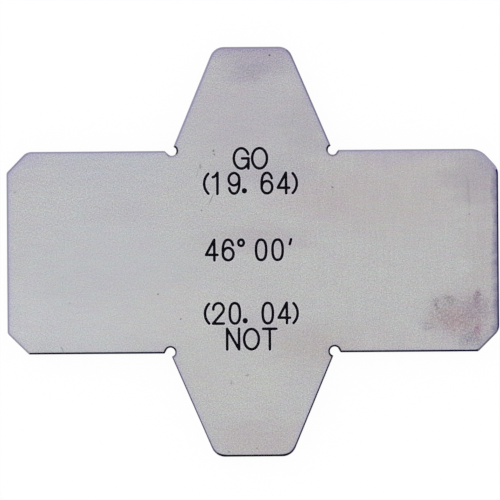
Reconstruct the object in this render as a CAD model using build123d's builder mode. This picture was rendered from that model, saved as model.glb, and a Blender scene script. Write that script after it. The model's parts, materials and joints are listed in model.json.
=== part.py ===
from build123d import *
import os

# Shim limit gauge: one flat plate of hardened and ground steel, cut out as a cross.
# Two broad arms are the grip. A tapered GO tab points to +Y and a tapered NOT tab to -Y.
# Each tab is pushed into the tapered mouth of the work until the mouth's lips meet the shoulders
# beside it: a good mouth lets the GO tab seat, and is too narrow for the NOT tab to seat.
# The plate lies on its back. The origin is under its middle, +X runs along the arms and +Z is up.
# Lengths are in millimetres and angles in degrees.

# Grip arms
overall_length = 60.0
arm_height = 24.72
thickness = 3.0

# Tabs: each width is the marked one, measured across the tab at its shoulders.
# Half of the marked taper of 46 degrees is 23 for each flank. Grinding by hand left each one
# its own lean, given as (left flank, right flank), and the NOT tab a little left of the middle.
go_width = 19.64
go_leans = (22.6, 23.0)
not_width = 20.04
not_leans = (23.35, 22.75)
not_offset = -0.12
tab_height = 12.64
nose_radius = 1.75

# Relief holes, drilled where flank and shoulder meet, so that neither runs into a rounded corner.
# The pair on the NOT side was drilled a little inside the shoulder line.
relief_radius = 0.58
not_relief_inset = 0.14

# A stone run along each shoulder opened the hole's mouth into a slanting lip.
# Which hole as (side along X, side along Y): from the hole's middle to where its lip begins
relief_lips = {
    (-1, 1): 0.86,
    (1, 1): 0.70,
    (-1, -1): 0.74,
    (1, -1): 0.74,
}

# Bevelled outer corners of the arms, each one stoned by hand and blended at both ends.
# Which corner as (side along X, side along Y): the bevel's length along the arm's long edge and
# along its end, then the blend's radius at the end and at the long edge
corner_bevels = {
    (-1, 1): (2.47, 2.54, 0.5, 1.4),
    (1, 1): (2.20, 2.40, 1.75, 2.7),
    (-1, -1): (2.60, 2.57, 0.6, 0.3),
    (1, -1): (2.57, 2.55, 1.45, 0.3),
}

# Small bevel that takes the sharpness off every edge of both faces
edge_break = 0.2

# Places worked out from the sizes above
half_length = overall_length / 2
shoulder_y = arm_height / 2

with BuildPart() as gauge_plate:
    with BuildSketch() as outline:
        # Arms, with each corner bevelled and its bevel blended at both ends
        Rectangle(overall_length, arm_height)
        for (side, level), (along_edge, along_end, end_blend, edge_blend) in corner_bevels.items():
            corner = outline.vertices().sort_by_distance((side * half_length, level * shoulder_y))[0]
            long_edge = outline.edges().filter_by(Axis.X).sort_by_distance(corner)[0]
            chamfer(corner, along_edge, along_end, reference=long_edge)
            at_end = (side * half_length, level * (shoulder_y - along_end))
            fillet(outline.vertices().sort_by_distance(at_end)[0], end_blend)
            at_edge = (side * (half_length - along_edge), level * shoulder_y)
            fillet(outline.vertices().sort_by_distance(at_edge)[0], edge_blend)

        # GO tab, standing on the upper shoulders
        go_left, go_right = go_leans
        with Locations((0, shoulder_y)):
            Trapezoid(go_width, tab_height, 90 - go_left, 90 - go_right, align=(Align.CENTER, Align.MIN))

        # NOT tab, wider at the shoulders and turned over, so that its right flank is given first
        not_left, not_right = not_leans
        with Locations(Location((not_offset, -shoulder_y), (0, 0, 180))):
            Trapezoid(not_width, tab_height, 90 - not_right, 90 - not_left, align=(Align.CENTER, Align.MIN))

        # Rounded corners of both noses
        fillet(outline.vertices().group_by(Axis.Y)[-1], nose_radius)
        fillet(outline.vertices().group_by(Axis.Y)[0], nose_radius)

        # Relief holes, each with its slanting lip: the hull of the hole and of the point on the
        # shoulder where the lip begins
        for (side, level), lip in relief_lips.items():
            x = side * go_width / 2 if level > 0 else not_offset + side * not_width / 2
            inset = 0 if level > 0 else not_relief_inset
            middle = (x, level * (shoulder_y - inset))
            with BuildSketch(mode=Mode.PRIVATE) as relief:
                with BuildLine():
                    CenterArc(middle, relief_radius, 0, 360)
                    Line(middle, (x + side * lip, level * shoulder_y))
                make_hull()
            add(relief.sketch, mode=Mode.SUBTRACT)
    extrude(amount=thickness)
    chamfer(gauge_plate.faces().filter_by(Axis.Z).edges(), edge_break)

gauge_plate.part.label = "gauge_plate"

os.makedirs("parts", exist_ok=True)
export_step(gauge_plate.part, "parts/gauge_plate.step")
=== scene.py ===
# %% [markdown]
# # A ground steel limit gauge with engraved marks
# The real gauge is one flat plate of hardened steel, cut out as a cross. Two broad arms are the
# grip. The GO tab has to enter the tapered mouth of the work and seat on its shoulders, and the
# slightly wider NOT tab must not. The loaded model already has that form, so this lesson is about
# what a model of the form leaves out: marks cut into the face, the black filling in them, the finish
# that a grinding wheel, an oilstone and years of handling have left on the steel, and light and
# shade painted on its edges.

# %% Load the plate
import bpy
import bmesh
import json
import math
import numpy as np
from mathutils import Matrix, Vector


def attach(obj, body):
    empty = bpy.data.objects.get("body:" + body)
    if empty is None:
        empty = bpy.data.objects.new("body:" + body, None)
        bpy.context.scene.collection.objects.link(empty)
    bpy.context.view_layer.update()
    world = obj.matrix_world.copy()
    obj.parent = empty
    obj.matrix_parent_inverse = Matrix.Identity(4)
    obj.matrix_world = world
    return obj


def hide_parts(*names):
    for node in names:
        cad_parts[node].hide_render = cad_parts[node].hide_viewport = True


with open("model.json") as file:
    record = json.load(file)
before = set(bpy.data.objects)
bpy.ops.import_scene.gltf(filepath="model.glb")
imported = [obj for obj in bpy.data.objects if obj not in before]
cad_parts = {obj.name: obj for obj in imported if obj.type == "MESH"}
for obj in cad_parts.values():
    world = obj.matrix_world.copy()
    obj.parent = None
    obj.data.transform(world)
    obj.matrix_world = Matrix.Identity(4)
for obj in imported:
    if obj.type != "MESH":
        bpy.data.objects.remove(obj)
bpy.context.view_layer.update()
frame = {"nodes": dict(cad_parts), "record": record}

# %% [markdown]
# ## Sizes
# The lengths of the outline come from the loaded model, so that its edges are found again when a
# size changes. The flanks and shoulders of the cross are the faces that the work touches, and the
# model's record lists each of them with a point and an outward direction. The ends, the noses and
# the corner bevels are measured. A side is kept as its outward direction and its reach: how far
# the side lies from the middle of the plate along that direction.

# %% Outer sizes of the plate
MM = 0.001

plate = frame["nodes"]["gauge_plate"]
corners = np.empty(len(plate.data.vertices) * 3, np.float32)
plate.data.vertices.foreach_get("co", corners)
corners = corners.reshape(-1, 3) / MM
half_length, nose_reach, face_height = (float(v) for v in corners.max(0))
print(f"{2 * half_length:.1f} x {2 * nose_reach:.1f} x {face_height:.1f} mm")

# %% Straight sides of the cross
# the four corners were bevelled by hand, so each bevel looks its own way, in degrees from +X
bevel_ways = {"upper right": 42.5, "upper left": 135.8, "lower left": 225.3, "lower right": -45.2}
mounts = {mount["name"]: mount for mount in frame["record"]["mounts"]}


def stated_side(name):
    """Outward direction of a side that the record lists, and its reach in mm: direction . point."""
    direction = np.array(mounts[name]["axis"][:2])
    return tuple(direction), float(direction @ np.array(mounts[name]["pos_m"][:2])) / MM


def measured_side(degrees):
    """Outward direction of a side, and its reach in mm: the most that direction . corner comes to."""
    direction = np.array([math.cos(math.radians(degrees)), math.sin(math.radians(degrees))])
    return tuple(direction), float((corners[:, :2] @ direction).max())


arm_sides = {
    "right end": measured_side(0),
    "upper right bevel": measured_side(bevel_ways["upper right"]),
    "upper edge": stated_side("go_shoulder_right"),
    "upper left bevel": measured_side(bevel_ways["upper left"]),
    "left end": measured_side(180),
    "lower left bevel": measured_side(bevel_ways["lower left"]),
    "lower edge": stated_side("not_shoulder_right"),
    "lower right bevel": measured_side(bevel_ways["lower right"]),
}
go_sides = {
    "left flank": stated_side("go_flank_left"),
    "nose": measured_side(90),
    "right flank": stated_side("go_flank_right"),
}
not_sides = {
    "left flank": stated_side("not_flank_left"),
    "nose": measured_side(-90),
    "right flank": stated_side("not_flank_right"),
}
shoulder_y = arm_sides["upper edge"][1]
print(f"the shoulders lie {shoulder_y:.2f} mm from the middle line")

# %% [markdown]
# A relief hole is bored at each foot of the tabs. The foot is where the flank's line crosses the
# shoulder's. Only the hole's wall has corners of the model close to it there. The one that lies
# farthest behind the foot, towards the middle of the tab, is one radius away from it, and the one
# deepest in the arm tells how far inside the shoulder's line the hole was bored.

# %% Relief holes
# in mm: a wall's corners lie farther than the first from both faces, and those of a hole lie
# nearer than the second to their foot
face_margin = 0.1
foot_reach = 1.0

heights = corners[:, 2]
on_walls = (heights > face_margin) & (heights < face_height - face_margin)
wall_corners = corners[on_walls, :2]


def relief_hole(flank, side, level):
    """Middle and radius of the hole at a flank's foot; side and level are 1 or -1."""
    (direction_x, direction_y), reach = flank
    foot = np.array([(reach - direction_y * level * shoulder_y) / direction_x, level * shoulder_y])
    near = wall_corners[np.linalg.norm(wall_corners - foot, axis=1) < foot_reach] - foot
    radius = float((-side * near[:, 0]).max())
    inset = float((-level * near[:, 1]).max()) - radius
    return (float(foot[0]), float(foot[1] - level * inset)), radius


relief_holes = [
    relief_hole(go_sides["left flank"], -1, 1),
    relief_hole(go_sides["right flank"], 1, 1),
    relief_hole(not_sides["left flank"], -1, -1),
    relief_hole(not_sides["right flank"], 1, -1),
]
for (hole_x, hole_y), radius in relief_holes:
    print(f"relief hole at {hole_x:.2f}, {hole_y:.2f} with a radius of {radius:.2f} mm")

# %% [markdown]
# ## The marks
# An engraving machine draws every figure with one round cutter, so a mark is not a filled shape
# but a path: straight runs, and ovals or parts of them. The paths are written in millimetres, in
# a cell whose origin is the middle of the figure's foot. A font would give outlines with sharp
# corners and changing widths, which a round cutter cannot leave, and so paths are the truer way.

# %% Runs, bends and ovals
figure_height = 2.5
# a bend has this many points, and an oval one for so many degrees and a few more
bend_points = 9
degrees_per_point = 9
extra_points = 5


def run(*points):
    """A path of straight runs through these points."""
    return np.array(points, float)


def bend(start, pull, end):
    """A curved path: (1 - t)^2 start + 2 t (1 - t) pull + t^2 end, for t from 0 to 1."""
    t = np.linspace(0, 1, bend_points)[:, None]
    start, pull, end = (np.array(p, float) for p in (start, pull, end))
    return (1 - t) ** 2 * start + 2 * t * (1 - t) * pull + t**2 * end


def oval(centre, radii, start=0, stop=360, square=2.0):
    """A path round an oval: centre + radii * (cos, sin) of the turn, each to the power 2 / square.

    A square of 2 is an ellipse, and more flattens its sides. The sign of cos and sin is kept.
    """
    points = extra_points + int(abs(stop - start) / degrees_per_point)
    turn = np.radians(np.linspace(start, stop, points))
    curve = np.stack([np.cos(turn), np.sin(turn)], -1)
    curve = np.sign(curve) * np.abs(curve) ** (2 / square)
    return np.array(centre) + np.array(radii) * curve


def turned(paths):
    """The paths turned by half a turn about the middle of the figure: (x, y) to (-x, height - y)."""
    return [np.array([0, figure_height]) - path for path in paths]


print("a full oval has", len(oval((0, 0), (1, 1))), "points")

# %% [markdown]
# Most figures are one or two paths. The nought is an oval with flattened sides, the nine is the
# six turned by half a turn, and the right bracket mirrors the left one. A point is a star of four
# short strokes, close enough together to make one round hole.

# %% Figures
bracket = oval((2.07, 1.22), (1.69, 1.69), 134.3, 225.7)
six = [
    oval((0, 0.75), (0.645, 0.75)),
    np.concatenate([oval((0, 1.25), (0.645, 1.25), 26, 180, 2.2), run((-0.645, 0.8))]),
]
two_head = oval((0.02, 1.8), (0.635, 0.69), 187, -42)
point_strokes = [(0.17, 0), (0.125, 0.13), (0, 0.185), (-0.125, 0.13)]
cutter_paths = {
    "0": [oval((0, 1.24), (0.62, 1.24), square=2.4)],
    "1": [bend((-0.575, 2.0), (-0.24, 2.1), (0, 2.53)), run((0, 2.54), (-0.015, -0.03))],
    "2": [np.concatenate([two_head, run((-0.66, 0))]), run((-0.66, 0), (0.65, 0))],
    "4": [
        run((0.31, 2.5), (-0.69, 0.67)),
        run((-0.69, 0.67), (0.705, 0.66)),
        run((0.31, 2.5), (0.325, 0)),
    ],
    "6": six,
    "9": turned(six),
    ".": [run((-0.75 - x, 0.33 - y), (-0.75 + x, 0.33 + y)) for x, y in point_strokes],
    "(": [bracket],
    ")": [bracket * (-1, 1)],
    "\N{DEGREE SIGN}": [oval((-0.43, 2.12), (0.34, 0.38))],
    "\N{PRIME}": [run((-0.36, 2.5), (-0.52, 1.9))],
    "G": [
        oval((0.02, 1.24), (0.92, 1.24), 24, 327),
        run((0.11, 1.24), (0.895, 1.24)),
        run((0.895, 1.24), (0.87, 0)),
    ],
    "N": [
        run((-0.725, 0), (-0.725, 2.52)),
        run((-0.725, 2.52), (0.725, 0)),
        run((0.725, 0), (0.725, 2.52)),
    ],
    "O": [oval((0, 1.24), (0.9, 1.24))],
    "T": [run((-0.82, 2.48), (0.81, 2.48)), run((0, 2.48), (0, -0.02))],
}
print(len(cutter_paths), "figures, from", sum(len(paths) for paths in cutter_paths.values()), "paths")

# %% [markdown]
# ## Where the marks stand
# The two limits stand in brackets beside their tabs, each with its plain word. Both tabs taper by
# the same angle, and that angle is marked in the middle. An engraving machine spaces its figures
# evenly, a point as widely as a nought, so each line is its first cell's middle and a pitch.

# %% Lines of marks
taper_mark = "46\N{DEGREE SIGN}00\N{PRIME}"
# text, x of the first cell's middle, pitch, and y of the line's foot, in mm on the plate
mark_lines = [
    ("GO", -1.342, 2.24, 10.15),
    ("(19.64)", -6.26, 2.01, 7.11),
    (taper_mark, -5.02, 2.01, -1.02),
    ("(20.04)", -6.27, 2.01, -8.74),
    ("NOT", -2.484, 2.24, -11.9),
]
strokes = [
    path + (first + pitch * place, foot)
    for text, first, pitch, foot in mark_lines
    for place, figure in enumerate(text)
    for path in cutter_paths[figure]
]
print(len(strokes), "strokes for the cutter")

# %% [markdown]
# ## The cutter's sweep
# What the cutter takes away is its own section carried along each path: a little narrower at the
# floor than above because the cutter tapers, and round at both ends. Rubbing the burr off has also
# dished the lips of the cut, a hundredth of a millimetre deep and a tenth wide, and that belongs
# to the section too.

# %% Section of the cut
cut_width = 0.352
cut_depth = 0.1
wall_lean = 0.025
lip_width = 0.1
lip_depth = 0.012
clear_above = 0.05

# reach from the path and height over the face, in mm
upper_section = [(cut_width / 2 + lip_width, clear_above), (cut_width / 2 + lip_width, 0)]
lower_section = [(cut_width / 2, -lip_depth), (cut_width / 2 - wall_lean, -cut_depth)]
print("half section in mm:", [(round(reach, 3), height) for reach, height in upper_section + lower_section])

# %% [markdown]
# Each point of the sweep is a point of the path plus the section's reach times the outward
# direction, at the section's height. So the points form a grid, with one row for each step of the
# section and one column for each step round the path, and whole arrays make it at once.

# %% Points and faces of a sweep


def unit(vectors):
    """Each vector divided by its length."""
    return vectors / np.linalg.norm(vectors, axis=-1, keepdims=True)


def quarter_turn(vectors):
    """Each (x, y) turned left by a quarter turn, to (-y, x)."""
    return np.stack([-vectors[:, 1], vectors[:, 0]], -1)


def raised(centres, outward, section):
    """Points (section step, outline step, 3): centre + reach * outward, at face height + height."""
    reach, height = np.array(section).T
    flat = centres + reach[:, None, None] * outward
    level = np.broadcast_to((face_height + height)[:, None, None], (*flat.shape[:2], 1))
    return np.concatenate([flat, level], -1).reshape(-1, 3)


def grid_faces(rows, columns, wrap_rows):
    """Faces (r, c), (r, c + 1), (r + 1, c + 1), (r + 1, c) of a grid whose columns close into a ring."""
    face_rows = np.arange(rows if wrap_rows else rows - 1)
    row, column = np.meshgrid(face_rows, np.arange(columns), indexing="ij")
    after_row, after_column = (row + 1) % rows, (column + 1) % columns
    corners_of = [(row, column), (row, after_column), (after_row, after_column), (after_row, column)]
    return list(np.stack([r * columns + c for r, c in corners_of], -1).reshape(-1, 4))


print("a grid of 2 by 4 points has", len(grid_faces(2, 4, wrap_rows=False)), "faces")

# %% [markdown]
# A closed path gives a plain ring, with the section mirrored to both sides of it. On an open path
# the outward direction walks up the left side, round the end, back along the right side and round
# the start, and the lid and the floor are then a strip across the path with a rounded piece at
# each end.

# %% Closed and open paths
end_steps = 7


def ring_solid(path):
    """The section carried round a closed path: path + reach * a quarter turn right of its run."""
    centres = path[:-1]
    along = unit(np.roll(centres, -1, 0) - np.roll(centres, 1, 0))
    mirrored = [(-reach, height) for reach, height in reversed(upper_section + lower_section)]
    section = upper_section + lower_section + mirrored
    points = raised(centres, -quarter_turn(along), section)
    return points, grid_faces(len(section), len(centres), wrap_rows=True)


def open_outline(path):
    """Centres and outward directions up an open path's left side, round its end, and back.

    Round an end the direction is cos(turn) * left + sin(turn) * along, for turns up to pi.
    """
    along = unit(np.gradient(path, axis=0))
    left = quarter_turn(along)
    turn = np.linspace(0, np.pi, end_steps + 2)[1:-1, None]
    end_fan = np.cos(turn) * left[-1] + np.sin(turn) * along[-1]
    start_fan = -np.cos(turn) * left[0] - np.sin(turn) * along[0]
    ends = np.repeat(path[[-1, 0]], end_steps, 0)
    centres = np.concatenate([path, ends[:end_steps], path[::-1], ends[end_steps:]])
    return centres, np.concatenate([left, end_fan, -left[::-1], start_fan])


def open_solid(path):
    """The section carried along an open path, with half a turn of it round each end."""
    centres, outward = open_outline(path)
    section = upper_section + lower_section
    count, around = len(path), len(centres)
    faces = grid_faces(len(section), around, wrap_rows=False)
    step = np.arange(count - 1)
    opposite = 2 * count + end_steps - 1 - step
    strip = np.stack([step, step + 1, opposite - 1, opposite], -1)
    end_piece = np.arange(count - 1, count + end_steps + 1)
    start_piece = np.append(np.arange(2 * count + end_steps - 1, around), 0)
    for base in (0, (len(section) - 1) * around):
        faces += [*(strip + base), end_piece + base, start_piece + base]
    return raised(centres, outward, section), faces


print("a straight stroke has", len(open_solid(run((0, 0), (0, 1)))[1]), "faces")

# %% [markdown]
# All strokes go into one mesh, because they cross and meet and one Boolean is to cut them all. The
# sections' grids don't all run the same way, so the faces are turned outwards at the end.

# %% All strokes in one mesh


def mesh_object(name, points, faces):
    """An object at the origin, from points in mm and faces, with every face turned outwards."""
    mesh = bpy.data.meshes.new(name)
    mesh.from_pydata((points * MM).tolist(), [], faces)
    work = bmesh.new()
    work.from_mesh(mesh)
    bmesh.ops.recalc_face_normals(work, faces=work.faces)
    work.to_mesh(mesh)
    work.free()
    made = bpy.data.objects.new(name, mesh)
    bpy.context.scene.collection.objects.link(made)
    return made


all_points, all_faces, start = [], [], 0
for path in strokes:
    closed = np.allclose(path[0], path[-1])
    points, faces = ring_solid(path) if closed else open_solid(path)
    all_points.append(points)
    all_faces += [face + start for face in faces]
    start += len(points)
cutter_sweep = mesh_object("cutter_sweep", np.concatenate(all_points), all_faces)
print(len(cutter_sweep.data.polygons), "faces in the cutter's sweep")

# %% [markdown]
# ## Engraving the plate
# A mark that is only painted on looks flat as soon as the light moves, so the sweep is taken out
# of the steel with an exact Boolean. Crossings that all but meet leave edges with no length in its
# result, and these are dissolved, or they would end up as empty triangles. Edges over 30 degrees
# stay sharp, and the round stretches of the outline smooth.

# %% Boolean and shading
sharp_angle = math.radians(30)
# in metres, as every length that Blender itself takes
join_distance = 0.0001 * MM


def boolean(target, operation, other):
    """Applies a Boolean to the target's mesh, with crossings inside either mesh resolved."""
    cut = target.modifiers.new("cut", "BOOLEAN")
    cut.operation = operation
    cut.object = other
    cut.solver = "EXACT"
    cut.use_self = True
    graph = bpy.context.evaluated_depsgraph_get()
    result = bpy.data.meshes.new_from_object(target.evaluated_get(graph))
    work = bmesh.new()
    work.from_mesh(result)
    bmesh.ops.dissolve_degenerate(work, dist=join_distance, edges=work.edges)
    work.to_mesh(result)
    work.free()
    target.modifiers.clear()
    target.data = result


def finish_shading(target):
    """Smooth faces with sharp edges wherever two faces meet at more than the sharp angle."""
    mesh = target.data
    mesh.polygons.foreach_set("use_smooth", np.ones(len(mesh.polygons), bool))
    mesh.set_sharp_from_angle(angle=sharp_angle)


print("edges over", round(math.degrees(sharp_angle)), "degrees stay sharp")

# %% [markdown]
# The loaded plate's mesh is never changed: a copy is engraved and stands in its place. The copy's
# loose triangles are joined first, or the Boolean would find no inside. The normals stored in it
# go too, because they would shade the new faces as if they were the old ones.

# %% The engraved plate
joined = bmesh.new()
joined.from_mesh(plate.data)
bmesh.ops.remove_doubles(joined, verts=joined.verts, dist=join_distance)
blank_mesh = bpy.data.meshes.new("engraved_plate")
joined.to_mesh(blank_mesh)
joined.free()
blank_mesh.attributes.remove(blank_mesh.attributes["custom_normal"])
engraved_plate = bpy.data.objects.new("engraved_plate", blank_mesh)
bpy.context.scene.collection.objects.link(engraved_plate)
boolean(engraved_plate, "DIFFERENCE", cutter_sweep)
finish_shading(engraved_plate)
print("the plain plate has", len(blank_mesh.polygons), "faces")
print("the engraved one has", len(engraved_plate.data.polygons), "faces")

# %% [markdown]
# ## Filling the marks
# Black enamel is rubbed into the marks and wiped off the face, which leaves it a hair below the
# steel. So the filling is the same sweep, kept only between its floor and that level, by a
# Boolean with a thin slab that covers the whole face.

# %% The black filling
wiped_below = 0.015
slab_margin = 1.0

slab_x, slab_y = half_length + slab_margin, nose_reach + slab_margin
slab_low, slab_high = face_height - 2 * cut_depth, face_height - wiped_below
slab_points = np.array([
    (x, y, z)
    for z in (slab_low, slab_high)
    for x, y in ((-slab_x, -slab_y), (slab_x, -slab_y), (slab_x, slab_y), (-slab_x, slab_y))
])
slab_faces = [(0, 1, 2, 3), (4, 5, 6, 7)] + grid_faces(2, 4, wrap_rows=False)
slab = mesh_object("slab", slab_points, slab_faces)
mark_filling = cutter_sweep
mark_filling.name = "mark_filling"
boolean(mark_filling, "INTERSECT", slab)
finish_shading(mark_filling)
bpy.data.objects.remove(slab)
print("the filling has", len(mark_filling.data.polygons), "faces")

# %% [markdown]
# ## Colours and nodes
# Colours are written as sRGB hex values, the numbers that a paint program shows. Shaders work on
# linear light, so one function turns a hex value into linear numbers. Another adds a node: its
# settings, then a value or a link for each socket that matters. A third starts a new material.

# %% Helpers for materials


def linear(hex_code):
    """sRGB hex to linear RGBA: s / 12.92 when dark, else ((s + 0.055) / 1.055) ** 2.4."""
    s = np.array([int(hex_code[i:i + 2], 16) for i in (0, 2, 4)]) / 255
    light = np.where(s <= 0.04045, s / 12.92, ((s + 0.055) / 1.055) ** 2.4)
    return (*(float(v) for v in light), 1.0)


def add(tree, kind, settings, inputs):
    """Adds a node and returns its first output. Sockets are named, or counted among those in use."""
    made = tree.nodes.new(kind)
    for name, value in settings.items():
        setattr(made, name, value)
    in_use = [socket for socket in made.inputs if socket.enabled]
    for key, value in inputs.items():
        socket = in_use[key] if isinstance(key, int) else next(s for s in in_use if s.name == key)
        if isinstance(value, bpy.types.NodeSocket):
            tree.links.new(value, socket)
        else:
            socket.default_value = value
    return next(socket for socket in made.outputs if socket.enabled)


def new_material(name):
    """An empty node material, its tree and its output node."""
    material = bpy.data.materials.new(name)
    material.use_nodes = True
    tree = material.node_tree
    tree.nodes.clear()
    return material, tree, tree.nodes.new("ShaderNodeOutputMaterial")


print("b8b7ba in linear light:", [round(v, 3) for v in linear("b8b7ba")])

# %% [markdown]
# ## The steel: where a point lies
# The finish depends on where a point is, so the first nodes measure that. Object coordinates are
# in metres and become millimetres, so that every pattern can be scaled by a real size. With a 1
# written after x and y, the depth of a point inside one straight side is a single dot product:
# (-direction_x, -direction_y, reach) . (x, y, 1).

# %% Place of a point and which way its surface looks
# hardened tool steel, ground on a surface grinder and then rubbed with an oilstone: a dull silver
# grey that spreads every light into a soft sheen and mirrors nothing
ground_steel, steel, steel_out = new_material("hardened_ground_tool_steel")

object_place = add(steel, "ShaderNodeTexCoord", {}, {}).node.outputs["Object"]
place = add(steel, "ShaderNodeVectorMath", {"operation": "SCALE"}, {0: object_place, "Scale": 1 / MM})
flat_place = add(steel, "ShaderNodeVectorMath", {"operation": "MULTIPLY"}, {0: place, 1: (1, 1, 0)})
place_and_one = add(steel, "ShaderNodeVectorMath", {"operation": "ADD"}, {0: flat_place, 1: (0, 0, 1)})
place_axes = add(steel, "ShaderNodeSeparateXYZ", {}, {0: place}).node.outputs

surface_normal = add(steel, "ShaderNodeTexCoord", {}, {}).node.outputs["Normal"]
looks_up = add(steel, "ShaderNodeSeparateXYZ", {}, {0: surface_normal}).node.outputs["Z"]
slope = add(steel, "ShaderNodeMath", {"operation": "ABSOLUTE"}, {0: looks_up})
print(len(steel.nodes), "nodes to know where a point lies and which way it looks")

# %% [markdown]
# ## The steel: light and shade painted on the edges
# The faces were ground bright. The little bevels carry painted light and shade, as if lit from the
# upper left: above and on the left they are painted a lit grey violet, while on the lower edges and
# the right end they are painted dark as shade. So each side of the cross carries the painted colour
# of its bevel and the strength of the violet film that lies beside it. Inside one convex shape the
# nearest side is the one with the least depth, and in the arms and the tabs together the greatest
# of their depths counts. Where two sides meet, the smooth least rounds the corner: a radius r and
# half the corner's angle h ask for a smoothness of 6 r (1 - sin h).

# %% Looks of the straight edges
# side, smoothness of its corner with the sides before it, how far its painted colour is set back
# in mm (below 0 where it reaches farther in), colour of its bevel: painted light where it faces up
# and left, painted shade where it faces down and right, strength of the film beside it
arm_looks = [
    (arm_sides["right end"], 0.0, 0.02, "1c1250", 0.5),
    (arm_sides["upper right bevel"], 0.8, 0.0, "a19dae", 1.1),
    (arm_sides["upper edge"], 1.2, 0.015, "9a97aa", 1.0),
    (arm_sides["upper left bevel"], 0.6, -0.02, "908da4", 1.0),
    (arm_sides["left end"], 0.25, 0.0, "9a98a9", 1.1),
    (arm_sides["lower left bevel"], 0.25, 0.0, "9d9aa9", 0.6),
    (arm_sides["lower edge"], 0.15, 0.0, "06052a", 0.4),
    (arm_sides["lower right bevel"], 0.4, 0.01, "6b6674", 0.9),
]
# each tab ends at the middle line, inside the arms, where its look never shows
go_looks = [
    (go_sides["left flank"], 0.0, 0.0, "9693a9", 0.9),
    (go_sides["nose"], 1.7, -0.01, "9790a5", 1.05),
    (go_sides["right flank"], 1.7, 0.03, "7f7a93", 1.1),
    (((0, -1), 0.0), 0.0, 0.0, "808080", 0.0),
]
not_looks = [
    (not_sides["left flank"], 0.0, 0.08, "5f5a73", 0.9),
    (not_sides["nose"], 1.7, -0.025, "040319", 0.4),
    (not_sides["right flank"], 1.7, 0.05, "251f3c", 0.95),
    (((0, 1), 0.0), 0.0, 0.0, "808080", 0.0),
]
print(len(arm_looks) + len(go_looks) + len(not_looks), "sides with a look")

# %% Nearest straight edge, its depth and its look


def look_of(first, second, second_wins):
    """Colour and film of the second of two edges where it wins, else of the first."""
    colour = add(steel, "ShaderNodeMix", {"data_type": "RGBA"}, {0: second_wins, 1: first[1], 2: second[1]})
    film = add(steel, "ShaderNodeMix", {"data_type": "FLOAT"}, {0: second_wins, 1: first[2], 2: second[2]})
    return colour, film


def nearer(first, second, smoothness):
    """Of two edges as (depth, colour, film): their smooth least depth, and the look of the nearer."""
    less = add(steel, "ShaderNodeMath", {"operation": "LESS_THAN"}, {0: second[0], 1: first[0]})
    depth = add(steel, "ShaderNodeMath", {"operation": "SMOOTH_MIN"}, {
        0: first[0], 1: second[0], 2: smoothness,
    })
    return depth, *look_of(first, second, less)


def deeper(first, second):
    """Of two edges as (depth, colour, film): the one with the greater depth."""
    more = add(steel, "ShaderNodeMath", {"operation": "GREATER_THAN"}, {0: second[0], 1: first[0]})
    depth = add(steel, "ShaderNodeMath", {"operation": "MAXIMUM"}, {0: first[0], 1: second[0]})
    return depth, *look_of(first, second, more)


def convex_edge(looks):
    """The nearest edge of one convex shape, as (depth, colour, film)."""
    nearest = None
    for ((direction_x, direction_y), reach), smoothness, shade_inset, bevel, film in looks:
        inward = (-direction_x, -direction_y, reach + shade_inset)
        depth = add(steel, "ShaderNodeVectorMath", {"operation": "DOT_PRODUCT"}, {
            0: place_and_one, 1: inward,
        })
        # a bevel's colour is painted light on the upper and left sides and painted shade on the lower and
        # right ones
        side = (depth, linear(bevel), film)
        nearest = side if nearest is None else nearer(nearest, side, smoothness)
    return nearest


edge = convex_edge(arm_looks)
for looks in (go_looks, not_looks):
    edge = deeper(edge, convex_edge(looks))
print(len(steel.nodes), "nodes with those for the straight edges")

# %% [markdown]
# The lip of a relief hole is an edge too. Its upper part is painted black as the shade of the
# hole's upper wall, and the rest is painted lighter as lit, so a lip has two colours. What is
# measured for them is how far round the hole a point lies, by the cosine of its angle from the
# middle of the black part. The holes' walls are painted darker as shade inside the narrow holes,
# and the least distance from them will tell which walls those are. A finish is laid on like paint:
# one colour over another, as far as some measure allows.

# %% Laying one colour on another


def laid(under, over, measure, full, none, strength=1.0, ramp="SMOOTHSTEP"):
    """The colour over laid on the colour under, as far as a measure allows.

    Its share is the strength where the measure is at full or past it, 0 where it is at none or
    past that, and the ramp between them.
    """
    allowed = add(steel, "ShaderNodeMapRange", {"interpolation_type": ramp}, {
        0: measure, 1: none, 2: full, 3: 0.0, 4: 1.0,
    })
    share = add(steel, "ShaderNodeMath", {"operation": "MULTIPLY"}, {0: allowed, 1: strength})
    return add(steel, "ShaderNodeMix", {"data_type": "RGBA"}, {0: share, 1: under, 2: over})


print("each colour that is laid takes three nodes")

# %% Lips of the relief holes
# middle of the black part in degrees round the hole, the cosines at which the lip is all black and
# no longer black, colour of the lit part; the black is painted shade and the lit part painted light
hole_looks = [
    (25, 0.75, 0.2, "a09cab"),
    (137, 0.85, 0.2, "8a8598"),
    (105, 0.26, -0.42, "8f8b9c"),
    (125, -0.57, -1.0, "8f8b9c"),
]
# painted shade of the lips, and how far inside the hole's wall their depth counts from, in mm
hole_lip_shade = linear("08070b")
hole_shade_inset = 0.12
hole_film = 0.7

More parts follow.
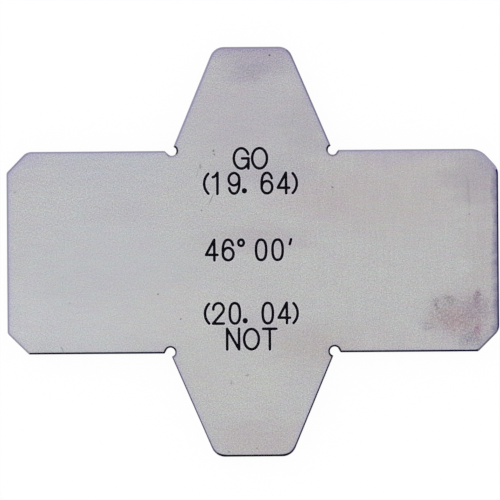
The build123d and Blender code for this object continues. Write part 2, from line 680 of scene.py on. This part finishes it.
# distance from the nearest hole's wall in mm, at first just a large one
hole_wall_gap = 10.0
for ((hole_x, hole_y), radius), (black_at, all_black, none_black, lit_lip) in zip(relief_holes, hole_looks):
    black_way = (math.cos(math.radians(black_at)), math.sin(math.radians(black_at)), 0)
    middle = (hole_x, hole_y, 0)
    away = add(steel, "ShaderNodeVectorMath", {"operation": "SUBTRACT"}, {0: flat_place, 1: middle})
    far = add(steel, "ShaderNodeVectorMath", {"operation": "LENGTH"}, {0: away})
    depth = add(steel, "ShaderNodeMath", {"operation": "SUBTRACT"}, {0: far, 1: radius - hole_shade_inset})
    along = add(steel, "ShaderNodeVectorMath", {"operation": "DOT_PRODUCT"}, {0: away, 1: black_way})
    cosine = add(steel, "ShaderNodeMath", {"operation": "DIVIDE"}, {0: along, 1: far})
    colour = laid(linear(lit_lip), hole_lip_shade, cosine, all_black, none_black)
    edge = nearer(edge, (depth, colour, hole_film), 0.0)
    gap = add(steel, "ShaderNodeMath", {"operation": "SUBTRACT"}, {0: far, 1: radius})
    hole_wall_gap = add(steel, "ShaderNodeMath", {"operation": "MINIMUM"}, {0: hole_wall_gap, 1: gap})
edge_depth, bevel_shading, film_strength = edge
print(len(steel.nodes), "nodes with those for the holes")

# %% [markdown]
# ## The steel: tints of the face
# Bare steel has hardly a colour of its own, but handling, oil and time have given this face broad
# soft tints: cool on the left arm, plain grey in the middle, violet on the GO tab, and browner at
# the upper right and at the NOT tab's foot and nose. Each is an oval with a soft edge, and its
# measure is how far out in the oval a point lies. The border is pushed about by stretched noise,
# because the tints run in streaks along the way the wheel passed over the plate.

# %% Soft ovals with wandering borders


def out_in_oval(where, middle, reach, turn=0.0):
    """How far out in an oval a point lies: the length of (where - middle), turned back, / reach."""
    oval_place = add(steel, "ShaderNodeMapping", {"vector_type": "TEXTURE"}, {
        "Vector": where,
        "Location": (*middle, 0),
        "Rotation": (0, 0, math.radians(turn)),
        "Scale": (*reach, 1),
    })
    return add(steel, "ShaderNodeVectorMath", {"operation": "LENGTH"}, {0: oval_place})


def stretched_noise(where, sizes, detail, roughness=0.5, start=(0, 0, 0)):
    """Noise with spots of about these sizes in mm along x, y and z: noise at start + where / sizes."""
    spot_place = add(steel, "ShaderNodeMapping", {}, {
        "Vector": where, "Location": start, "Scale": [1 / size for size in sizes],
    })
    return add(steel, "ShaderNodeTexNoise", {}, {
        "Vector": spot_place, "Scale": 1.0, "Detail": detail, "Roughness": roughness,
    })


def pushed(where, pattern, push):
    """The place where + (pattern - 0.5) * push, which gives what is laid there a wandering border."""
    half = (0.5, 0.5, 0.5)
    centred = add(steel, "ShaderNodeVectorMath", {"operation": "SUBTRACT"}, {0: pattern, 1: half})
    return add(steel, "ShaderNodeVectorMath", {"operation": "MULTIPLY_ADD"}, {
        0: centred, 1: push, 2: where,
    })


print("an oval, a pattern of noise and a push take two nodes each")

# %% Broad tints
drift_sizes = (7.14, 2.0, 1.0)
drift_push = (11, 5, 0)
# inside this share of its reach a tint is whole
tint_core = 0.2

drift = stretched_noise(flat_place, drift_sizes, 4.0, 0.6).node.outputs["Color"]
drifted = pushed(flat_place, drift, drift_push)

# colour, middle and reach in mm, strength
tints = [
    ("babbbf", (-20, -1), (19, 16), 1.0),
    ("b6b5ba", (-16, 5), (6, 3), 0.6),
    ("bebfc3", (-21, -9), (15, 5), 0.9),
    ("c0c1c5", (-28, -7), (5, 7.5), 0.6),
    ("b6b7be", (-18, 12), (15, 7), 0.9),
    ("b3b1be", (-28.5, 11), (4, 3), 0.7),
    ("bebebe", (-8, -8), (13, 6), 0.9),
    ("b5b2b8", (-1, 17), (11, 10), 1.0),
    ("aca8b0", (6.5, 14.5), (4, 8.5), 0.6),
    ("b8b4b5", (17, 7), (18, 8), 1.0),
    ("b4aeb7", (18, 12.4), (12, 2.4), 0.8),
    ("b5aeb1", (8, 7.0), (9, 4.2), 0.6),
    ("b0adb4", (1.5, 9.3), (9, 3.4), 0.8),
    ("b3aeb3", (1, 1.6), (9, 2.6), 0.8),
    ("bababa", (13, -3), (18, 5), 0.9),
    ("b3b0b6", (0, -9.2), (7.5, 3), 0.5),
    ("b9b7b8", (15, -11.5), (13, 4), 0.8),
    ("b3adad", (6.6, -11.6), (8.5, 4.6), 0.75),
    ("bcbcbb", (-2, -16), (10, 6), 0.9),
    ("b6b0b2", (1.5, -23.3), (8, 4), 0.8),
    ("aaa4b1", (0.6, 24.2), (8.5, 5.0), 0.9),
    ("b4b0b2", (28.5, -1), (4, 13), 0.8),
    ("aba5ac", (28.4, 9.4), (6.5, 6.0), 0.8),
]
face_colour = linear("b9b9ba")
for colour, middle, reach, strength in tints:
    out = out_in_oval(drifted, middle, reach)
    face_colour = laid(face_colour, linear(colour), out, tint_core, 1.0, strength)
print(len(tints), "broad tints")

# %% [markdown]
# ## The steel: stain, specks and scratches
# At the lower right something damp has lain on the plate. It left a thin brown and violet film
# with fine darker dots in it, a fifth of a millimetre wide and a little taller. So each oval of
# the stain is laid on more strongly where a fine noise is dark, and its border wanders by half a
# millimetre or so. A trace of the same film lies on the GO tab and in both right corners. Besides
# that there are a few dark specks, and scratches, which are very long and thin ovals.

# %% Stain
wander_sizes, wander_push = (1.11, 1.11, 1.11), (1.4, 1.4, 0)
dot_sizes = (0.22, 0.31, 1.0)
# the noise is dark below the first and light above the second, and counts so many times there
dot_dark, dot_light = 0.38, 0.62
dark_share, light_share = 1.6, 0.32
stain_core = 0.15

wander = stretched_noise(flat_place, wander_sizes, 3.0).node.outputs["Color"]
wandering = pushed(flat_place, wander, wander_push)
dot_noise = stretched_noise(flat_place, dot_sizes, 1.0, 0.7)
dots = add(steel, "ShaderNodeMapRange", {}, {
    0: dot_noise, 1: dot_dark, 2: dot_light, 3: dark_share, 4: light_share,
})

# colour, middle and reach in mm, turn in degrees, strength
stains = [
    ("aba1a8", (25.2, -8.0), (6.4, 4.6), -8, 0.85),
    ("a39194", (24.7, -8.5), (4.5, 2.2), -10, 0.6),
    ("8c868c", (23.9, -6.0), (1.5, 1.2), -20, 0.47),
    ("8b868d", (22.4, -6.6), (0.6, 1.3), 8, 0.7),
    ("836e7e", (27.3, -5.9), (0.75, 1.6), 0, 0.75),
    ("978c99", (27.2, -7.2), (2.9, 2.8), 0, 0.48),
    ("9c7c92", (27.2, -9.9), (0.9, 1.1), 0, 0.65),
    ("938f9a", (26.4, -10.9), (2.2, 1.5), 0, 0.65),
    ("9b99a2", (21.2, -9.1), (1.5, 0.9), 0, 0.5),
    ("928da0", (0.0, 22.0), (3.0, 1.7), 4, 0.33),
    ("8f899a", (0.4, 25.0), (5.2, 1.1), 0, 0.28),
    ("a09db0", (28.4, 10.6), (2.6, 1.5), -45, 0.4),
    ("9b959f", (28.2, -10.9), (2.4, 1.2), 45, 0.4),
]
for colour, middle, reach, turn, strength in stains:
    out = out_in_oval(wandering, middle, reach, turn)
    dotted = add(steel, "ShaderNodeMath", {"operation": "MULTIPLY"}, {0: dots, 1: strength})
    face_colour = laid(face_colour, linear(colour), out, stain_core, 1.0, dotted)
print(len(stains), "ovals of stain")

# %% Specks and scratches
speck_colour = linear("4a4656")
soft_core = 0.3

# middle and reach in mm, turn in degrees, strength
specks_and_scratches = [
    ((-4.72, 12.35), (0.15, 0.21), 0, 0.75),
    ((-4.63, 11.90), (0.12, 0.20), 15, 0.6),
    ((-11.6, -5.10), (0.14, 0.14), 0, 0.8),
    ((-8.85, -8.15), (0.14, 0.14), 0, 0.8),
    ((-22.4, -6.15), (0.11, 0.11), 0, 0.4),
    ((2.2, 23.95), (0.19, 0.16), 0, 0.9),
    ((-29.0, 7.45), (0.26, 0.14), 20, 0.35),
    ((-6.25, 5.05), (0.13, 0.13), 0, 0.6),
    ((-6.33, 10.45), (0.24, 0.45), 0, 0.35),
    ((-6.72, 9.60), (0.08, 0.85), -15, 0.3),
    ((-5.03, 6.46), (0.08, 1.1), -24, 0.6),
    ((-23.35, -11.7), (0.09, 0.65), 25, 0.4),
    ((26.35, 6.9), (0.30, 3.0), 3, 0.14),
    ((26.45, 4.42), (0.16, 0.16), 0, 0.35),
    ((9.75, 7.80), (0.24, 0.15), -30, 0.65),
    ((-0.79, -15.06), (0.42, 0.12), 18, 0.5),
    ((-2.73, -15.94), (0.15, 0.42), -5, 0.32),
    ((-3.07, -24.40), (0.24, 0.12), 0, 0.5),
    ((0.33, -23.97), (0.14, 0.14), 0, 0.5),
]
for middle, reach, turn, strength in specks_and_scratches:
    out = out_in_oval(flat_place, middle, reach, turn)
    face_colour = laid(face_colour, speck_colour, out, soft_core, 1.0, strength)
print(len(specks_and_scratches), "specks and scratches")

# %% [markdown]
# ## The steel: grain
# The finest grain is what the wheel's grit leaves once a stone has dulled it: pits and ridges a
# seventh of a millimetre apart, drawn several times coarser than the real ones so that they show,
# and with no direction left. Under it lie faint streaks of colour along the plate, and on the
# right half fine lines across it, from a later stroke of the stone.

# %% Grain and streaks
grain_sizes = (0.143, 0.143, 0.143)
streak_sizes, streak_amount = (2.0, 0.625, 1.0), 0.15
cross_sizes, cross_amount = (0.294, 4.55, 1.0), 0.12
# the cross lines begin left of the middle and are whole from the second place on, in mm along x
cross_begin, cross_whole = -2.0, 8.0


def varied(colour, pattern, amount):
    """colour * (1 + amount * (pattern - 0.5)) for each of red, green and blue."""
    factor = add(steel, "ShaderNodeVectorMath", {"operation": "MULTIPLY_ADD"}, {
        0: pattern, 1: (amount,) * 3, 2: (1 - 0.5 * amount,) * 3,
    })
    return add(steel, "ShaderNodeVectorMath", {"operation": "MULTIPLY"}, {0: colour, 1: factor})


grain = stretched_noise(place, grain_sizes, 1.0, 0.7)
streak = stretched_noise(flat_place, streak_sizes, 2.0).node.outputs["Color"]
cross_lines = stretched_noise(flat_place, cross_sizes, 1.0)
face_colour = varied(face_colour, streak, streak_amount)
crossed = varied(face_colour, cross_lines, cross_amount)
face_colour = laid(face_colour, crossed, place_axes["X"], cross_whole, cross_begin)
print("widths in mm: grain", grain_sizes[0], "streaks", streak_sizes[1], "cross lines", cross_sizes[0])

# %% [markdown]
# ## The steel: rim, bevels and lips
# Near the edges the film lies thicker and turns the face violet: it takes away some red and more
# green, adds a little blue, and fades out over a millimetre, as (1 - depth)^2. Along the right end
# a darker violet band is painted as the shade of its rounded edge, with a wandering border, so its
# measure is the pushed place of the stain.

# %% Film along the rim
film_reach = 1.0
film_tint = (0.86, 0.83, 1.14)
# the right end's band of painted shade, in mm from the end: whole up to the first, and gone at the second
band_core, band_width, band_strength = 0.15, 1.0, 0.9

film_fade = add(steel, "ShaderNodeMapRange", {}, {0: edge_depth, 1: 0.0, 2: film_reach, 3: 1.0, 4: 0.0})
film_curve = add(steel, "ShaderNodeMath", {"operation": "MULTIPLY"}, {0: film_fade, 1: film_fade})
film = add(steel, "ShaderNodeMath", {"operation": "MULTIPLY"}, {0: film_curve, 1: film_strength})
filmed = add(steel, "ShaderNodeVectorMath", {"operation": "MULTIPLY"}, {0: face_colour, 1: film_tint})
face_colour = add(steel, "ShaderNodeMix", {"data_type": "RGBA"}, {0: film, 1: face_colour, 2: filmed})

wandering_x = add(steel, "ShaderNodeSeparateXYZ", {}, {0: wandering}).node.outputs["X"]
band_full, band_none = half_length - band_core, half_length - band_width
# painted shade of the rounded right end
right_end_shade = linear("7a7496")
face_colour = laid(face_colour, right_end_shade, wandering_x, band_full, band_none, band_strength, "LINEAR")
print("film", film_reach, "mm wide along the rim")

# %% [markdown]
# Now the grain is laid on. The stone smoothed it in broad places and left it rougher on the GO
# tab's nose.

# %% Smoother and rougher places
plain_grain, smooth_grain, rough_grain = 1.3, 0.85, 1.65
# middle and reach in mm, strength
smoother_places = [
    ((-18, -5), (18, 12), 1.0),
    ((20, 6), (16, 9), 0.6),
    ((0, 15.5), (12, 6), 0.5),
    ((-5, -13.5), (5, 4), 0.7),
]
rougher_middle, rougher_reach = (0, 24), (9, 5)

smoother = varied(face_colour, grain, smooth_grain)
rougher = varied(face_colour, grain, rough_grain)
face_colour = varied(face_colour, grain, plain_grain)
for middle, reach, strength in smoother_places:
    out = out_in_oval(flat_place, middle, reach)
    face_colour = laid(face_colour, smoother, out, soft_core, 1.0, strength)
rougher_out = out_in_oval(flat_place, rougher_middle, rougher_reach)
face_colour = laid(face_colour, rougher, rougher_out, soft_core, 1.0)
print(len(smoother_places), "smoother places and a rougher one")

# %% [markdown]
# The bevels' painted light and shade also reaches a short way onto the face, which widens the dark
# lines of the shaded edges. The lips of the marks slope down from the face by a hundredth of a
# millimetre. They were rubbed bare and are brighter.

# %% Bevels, and lips of the marks
shade_line_reach = 0.075
bevel_grain = 0.5
lip_tint = (1.22, 1.20, 1.31)
# a lip begins and is whole at these depths below the face, in mm
lip_begin, lip_whole = 0.001, 0.003
# a surface is level where its normal rises over the first, and a corner of the model is on the
# face where it is nearer to it than the second, in mm
nearly_level = 0.9
same_height = 0.01

on_face = heights > face_height - same_height
bevel_width = half_length - float(corners[on_face, 0].max())
# the bevels' painted light and shade, reaching a little onto the face
grainy_bevel_shading = varied(bevel_shading, grain, bevel_grain)
face_and_bevel_shading = laid(face_colour, grainy_bevel_shading, edge_depth, bevel_width, bevel_width + shade_line_reach)

on_top = add(steel, "ShaderNodeMath", {"operation": "GREATER_THAN"}, {0: looks_up, 1: nearly_level})
lip_colour = add(steel, "ShaderNodeVectorMath", {"operation": "MULTIPLY"}, {0: face_and_bevel_shading, 1: lip_tint})
lip_full, lip_none = face_height - lip_whole, face_height - lip_begin
face_and_bevel_shading = laid(face_and_bevel_shading, lip_colour, place_axes["Z"], lip_full, lip_none, on_top, "LINEAR")
print(f"bevel {bevel_width:.2f} mm wide, and its colour reaches {shade_line_reach} mm onto the face")

# %% [markdown]
# ## The steel: walls and back
# The walls were ground along the outline, which leaves level lines on them: noise that is short in
# height and long in the plane. The walls of the relief holes are painted darker, as shade inside
# the narrow holes, and the walls of the marks are black with enamel. The back only ever lies on a
# table and keeps the long lines of the wheel. Which of these a point is on shows in its normal: the
# face looks straight up, a bevel half up, a wall not at all, and the back down.

# %% Walls
level_sizes = (4.0, 4.0, 0.111)
# a hole's painted shade is whole up to the first of these distances from its wall, and ends at the
# second, in mm
hole_shade_whole, hole_shade_end = 0.04, 0.1
# a wall that lies this far inside the bevel, in mm, is the wall of a mark
mark_begin, mark_whole = 0.3, 0.4

level_lines = stretched_noise(place, level_sizes, 2.0)
# a vector socket takes only the red, green and blue of a colour
wall_colour = linear("8e8b92")[:3]
for pattern, amount in ((level_lines, 0.7), (streak, 0.25), (grain, 0.5)):
    wall_colour = varied(wall_colour, pattern, amount)
# painted shade on and near the walls of the relief holes
wall_colour = laid(wall_colour, linear("3f3a42"), hole_wall_gap, hole_shade_whole, hole_shade_end)
mark_full, mark_none = bevel_width + mark_whole, bevel_width + mark_begin
wall_colour = laid(wall_colour, linear("08070b"), edge_depth, mark_full, mark_none)
print("level lines", level_sizes[2], "mm apart on the walls")

# %% Back
long_sizes = (12.5, 0.143, 1.0)
# another slice through the noise than the one that the face's patterns take
long_start = (0, 0, 0.4)

long_lines = stretched_noise(flat_place, long_sizes, 2.0, start=long_start)
back_colour = linear("b4b3b6")[:3]
for pattern, amount in ((long_lines, 0.3), (grain, 0.6), (drift, 0.25), (streak, 0.15)):
    back_colour = varied(back_colour, pattern, amount)
print("long lines", long_sizes[1], "mm apart on the back")

# %% Face, walls and back together
half_up = 0.5

on_bevel_or_face = add(steel, "ShaderNodeMath", {"operation": "GREATER_THAN"}, {0: slope, 1: half_up})
on_back = add(steel, "ShaderNodeMath", {"operation": "LESS_THAN"}, {0: looks_up, 1: -nearly_level})
steel_colour = add(steel, "ShaderNodeMix", {"data_type": "RGBA"}, {
    0: on_bevel_or_face, 1: wall_colour, 2: face_and_bevel_shading,
})
steel_colour = add(steel, "ShaderNodeMix", {"data_type": "RGBA"}, {
    0: on_back, 1: steel_colour, 2: back_colour,
})
print(len(steel.nodes), "nodes with those for the walls and the back")

# %% [markdown]
# ## The steel: shine
# A metal takes all its look from its own colour and from what it mirrors, so it is fully metallic
# with the default IOR. Grinding and stoning scatter the mirror image, and a roughness of 0.4 to
# 0.5, varied by the grain, gives their dull sheen. The same patterns lift the surface by a few
# thousandths of a millimetre, which is about as deep as a fine wheel cuts.

# %% Finished steel
groove_depth = 0.002
# this noise hardly ever leaves the range from the first to the second
noise_low, noise_high = 0.3, 0.7
steel_least, steel_most = 0.40, 0.50

steel_rough = add(steel, "ShaderNodeMapRange", {}, {
    0: grain, 1: noise_low, 2: noise_high, 3: steel_least, 4: steel_most,
})
flat_relief = add(steel, "ShaderNodeMix", {"data_type": "FLOAT"}, {0: on_back, 1: grain, 2: long_lines})
relief = add(steel, "ShaderNodeMix", {"data_type": "FLOAT"}, {
    0: on_bevel_or_face, 1: level_lines, 2: flat_relief,
})
steel_bump = add(steel, "ShaderNodeBump", {}, {
    "Height": relief, "Distance": groove_depth * MM, "Strength": 1.0,
})
shader = add(steel, "ShaderNodeBsdfPrincipled", {}, {
    "Base Color": steel_colour, "Metallic": 1.0, "Roughness": steel_rough, "Normal": steel_bump,
})
steel.links.new(shader, steel_out.inputs["Surface"])
print(len(steel.nodes), "nodes in the steel")

# %% [markdown]
# ## The filling's enamel
# Engraver's enamel is a matt black paste that is rubbed into the marks and dries a little uneven.
# Its binder has an IOR of about 1.5, but wiping leaves it dull and it lies in a narrow groove, so
# it is rough and hardly shines at all.

# %% Black enamel
enamel_grain_size = 0.167
enamel_least, enamel_most = 0.55, 0.75

# engraver's enamel, pressed in as a paste and wiped: a deep even black with hardly a glint
black_enamel, enamel, enamel_out = new_material("matt_black_engravers_enamel")
enamel_place = add(enamel, "ShaderNodeTexCoord", {}, {}).node.outputs["Object"]
enamel_grain = add(enamel, "ShaderNodeTexNoise", {}, {
    "Vector": enamel_place, "Scale": 1 / (enamel_grain_size * MM), "Detail": 2.0,
})
enamel_colour = add(enamel, "ShaderNodeMix", {"data_type": "RGBA"}, {
    0: enamel_grain, 1: linear("020205"), 2: linear("07060c"),
})
enamel_rough = add(enamel, "ShaderNodeMapRange", {}, {
    0: enamel_grain, 1: noise_low, 2: noise_high, 3: enamel_least, 4: enamel_most,
})
enamel_shader = add(enamel, "ShaderNodeBsdfPrincipled", {}, {
    "Base Color": enamel_colour, "Roughness": enamel_rough, "IOR": 1.5, "Specular IOR Level": 0.05,
})
enamel.links.new(enamel_shader, enamel_out.inputs["Surface"])
print(len(enamel.nodes), "nodes in the enamel")

# %% [markdown]
# The engraved plate stands in for the loaded one, and the filling is an addition. Both move with
# the only body of the gauge, and each gets one material.

# %% Pieces, slots and body
for piece, material, slot in (
    (engraved_plate, ground_steel, "ground_steel"),
    (mark_filling, black_enamel, "mark_filling"),
):
    piece.data.materials.clear()
    piece.data.materials.append(material)
    piece.data.polygons.foreach_set("material_index", np.zeros(len(piece.data.polygons), np.int32))
    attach(piece, "root")
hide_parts("gauge_plate")
print("two pieces ride on the root body")

# %% [markdown]
# ## Floor, light and camera
# A gauge is photographed for a catalogue from straight above, through a long lens, on white. The
# floor is a grey sheet that glows white, but only where it is seen: by the camera, mirrored in
# gloss or through glass. So it looks white without lighting up what lies on it, and it still
# keeps the plate's soft shadow. It lies a hair below the plate, because two faces at one height
# flicker, and its underside is clear, so that the back of the plate can be looked at too.

# %% Floor
floor_half = 0.6
floor_gap = 0.02 * MM
floor_light = 0.95

floor_mesh = bpy.data.meshes.new("floor")
floor_ways = ((-1, -1), (1, -1), (1, 1), (-1, 1))
floor_corners = [(x * floor_half, y * floor_half, -floor_gap) for x, y in floor_ways]
floor_mesh.from_pydata(floor_corners, [], [(0, 1, 2, 3)])
floor = bpy.data.objects.new("floor", floor_mesh)
bpy.context.scene.collection.objects.link(floor)
print("floor", 2 * floor_half, "m wide")

# %% The floor's sheet


def background_rays(tree):
    """1 for rays that show the background: from the camera, off gloss or through glass."""
    rays = add(tree, "ShaderNodeLightPath", {}, {}).node
    seen = rays.outputs["Is Camera Ray"]
    for name in ("Is Glossy Ray", "Is Transmission Ray"):
        seen = add(tree, "ShaderNodeMath", {"operation": "MAXIMUM"}, {0: seen, 1: rays.outputs[name]})
    return seen


# a backdrop of plain paper, lit so strongly that it shows as white without a grain
pale_sheet, sheet, sheet_out = new_material("pale_sheet")
sheet_diffuse = add(sheet, "ShaderNodeBsdfDiffuse", {}, {"Color": linear("404040")})
sheet_glow = add(sheet, "ShaderNodeMath", {"operation": "MULTIPLY"}, {
    0: background_rays(sheet), 1: floor_light,
})
sheet_emission = add(sheet, "ShaderNodeEmission", {}, {
    "Color": linear("ffffff"), "Strength": sheet_glow,
})
sheet_sum = add(sheet, "ShaderNodeAddShader", {}, {0: sheet_diffuse, 1: sheet_emission})
sheet_clear = add(sheet, "ShaderNodeBsdfTransparent", {}, {})
underside = add(sheet, "ShaderNodeNewGeometry", {}, {}).node.outputs["Backfacing"]
sheet_shader = add(sheet, "ShaderNodeMixShader", {}, {0: underside, 1: sheet_sum, 2: sheet_clear})
sheet.links.new(sheet_shader, sheet_out.inputs["Surface"])
floor_mesh.materials.append(pale_sheet)
print(len(sheet.nodes), "nodes in the sheet")

# %% [markdown]
# The world is an even white all round at a plain level, so a colour renders about as it is
# written. One large soft lamp at the upper left adds a direction, and stays weak for the same
# reason.

# %% World
light_on_object, light_behind_it = 0.9, 1.0

world = bpy.data.worlds.new("soft_white_room")
bpy.context.scene.world = world
world.use_nodes = True
room = world.node_tree
room.nodes.clear()
room_out = room.nodes.new("ShaderNodeOutputWorld")
room_level = add(room, "ShaderNodeMapRange", {}, {
    0: background_rays(room), 1: 0.0, 2: 1.0, 3: light_on_object, 4: light_behind_it,
})
room_light = add(room, "ShaderNodeBackground", {}, {"Color": linear("ffffff"), "Strength": room_level})
room.links.new(room_light, room_out.inputs["Surface"])
print(len(room.nodes), "nodes in the room")

# %% Lamp
lamp_data = bpy.data.lights.new("soft_lamp", "AREA")
lamp_data.shape = "SQUARE"
lamp_data.size = 0.35
lamp_data.energy = 0.6
lamp = bpy.data.objects.new("soft_lamp", lamp_data)
lamp.location = (-0.35, 0.35, 0.45)
lamp.rotation_euler = (-Vector(lamp.location)).to_track_quat("-Z", "Y").to_euler()
bpy.context.scene.collection.objects.link(lamp)
print("lamp", round(Vector(lamp.location).length, 2), "m away")

# %% [markdown]
# The camera looks straight down. The picture is 500 by 500 pixels. Three facts of the photograph
# place it: how many pixels the plate's length covers, where the plate's middle lies in the
# picture, and how far the plate is turned there. The camera's distance from the upper face is the
# width that the picture covers, times the lens, over the sensor's width.

# %% Camera
picture_width = 500
plate_length_pixels = 491.917
plate_middle_pixel = (252.85, 251.70)
plate_turn = math.radians(0.41)

camera_data = bpy.data.cameras.new("camera")
camera_data.lens = 200
camera_data.sensor_width = 36
mm_per_pixel = 2 * half_length / plate_length_pixels
distance = picture_width * mm_per_pixel * camera_data.lens / camera_data.sensor_width
shift = [
    (picture_width / 2 - plate_middle_pixel[0]) * mm_per_pixel,
    (plate_middle_pixel[1] - picture_width / 2) * mm_per_pixel,
]
turn_cos, turn_sin = math.cos(plate_turn), math.sin(plate_turn)
aim_x, aim_y = np.array([[turn_cos, turn_sin], [-turn_sin, turn_cos]]) @ shift
camera = bpy.data.objects.new("camera", camera_data)
camera.location = (aim_x * MM, aim_y * MM, (face_height + distance) * MM)
camera.rotation_euler = (0, 0, -plate_turn)
camera_data.clip_start = 0.01
bpy.context.scene.collection.objects.link(camera)
bpy.context.scene.camera = camera
bpy.context.scene.view_settings.view_transform = "Standard"
print(f"the camera is {distance:.1f} mm above the face and sees {picture_width * mm_per_pixel:.2f} mm")
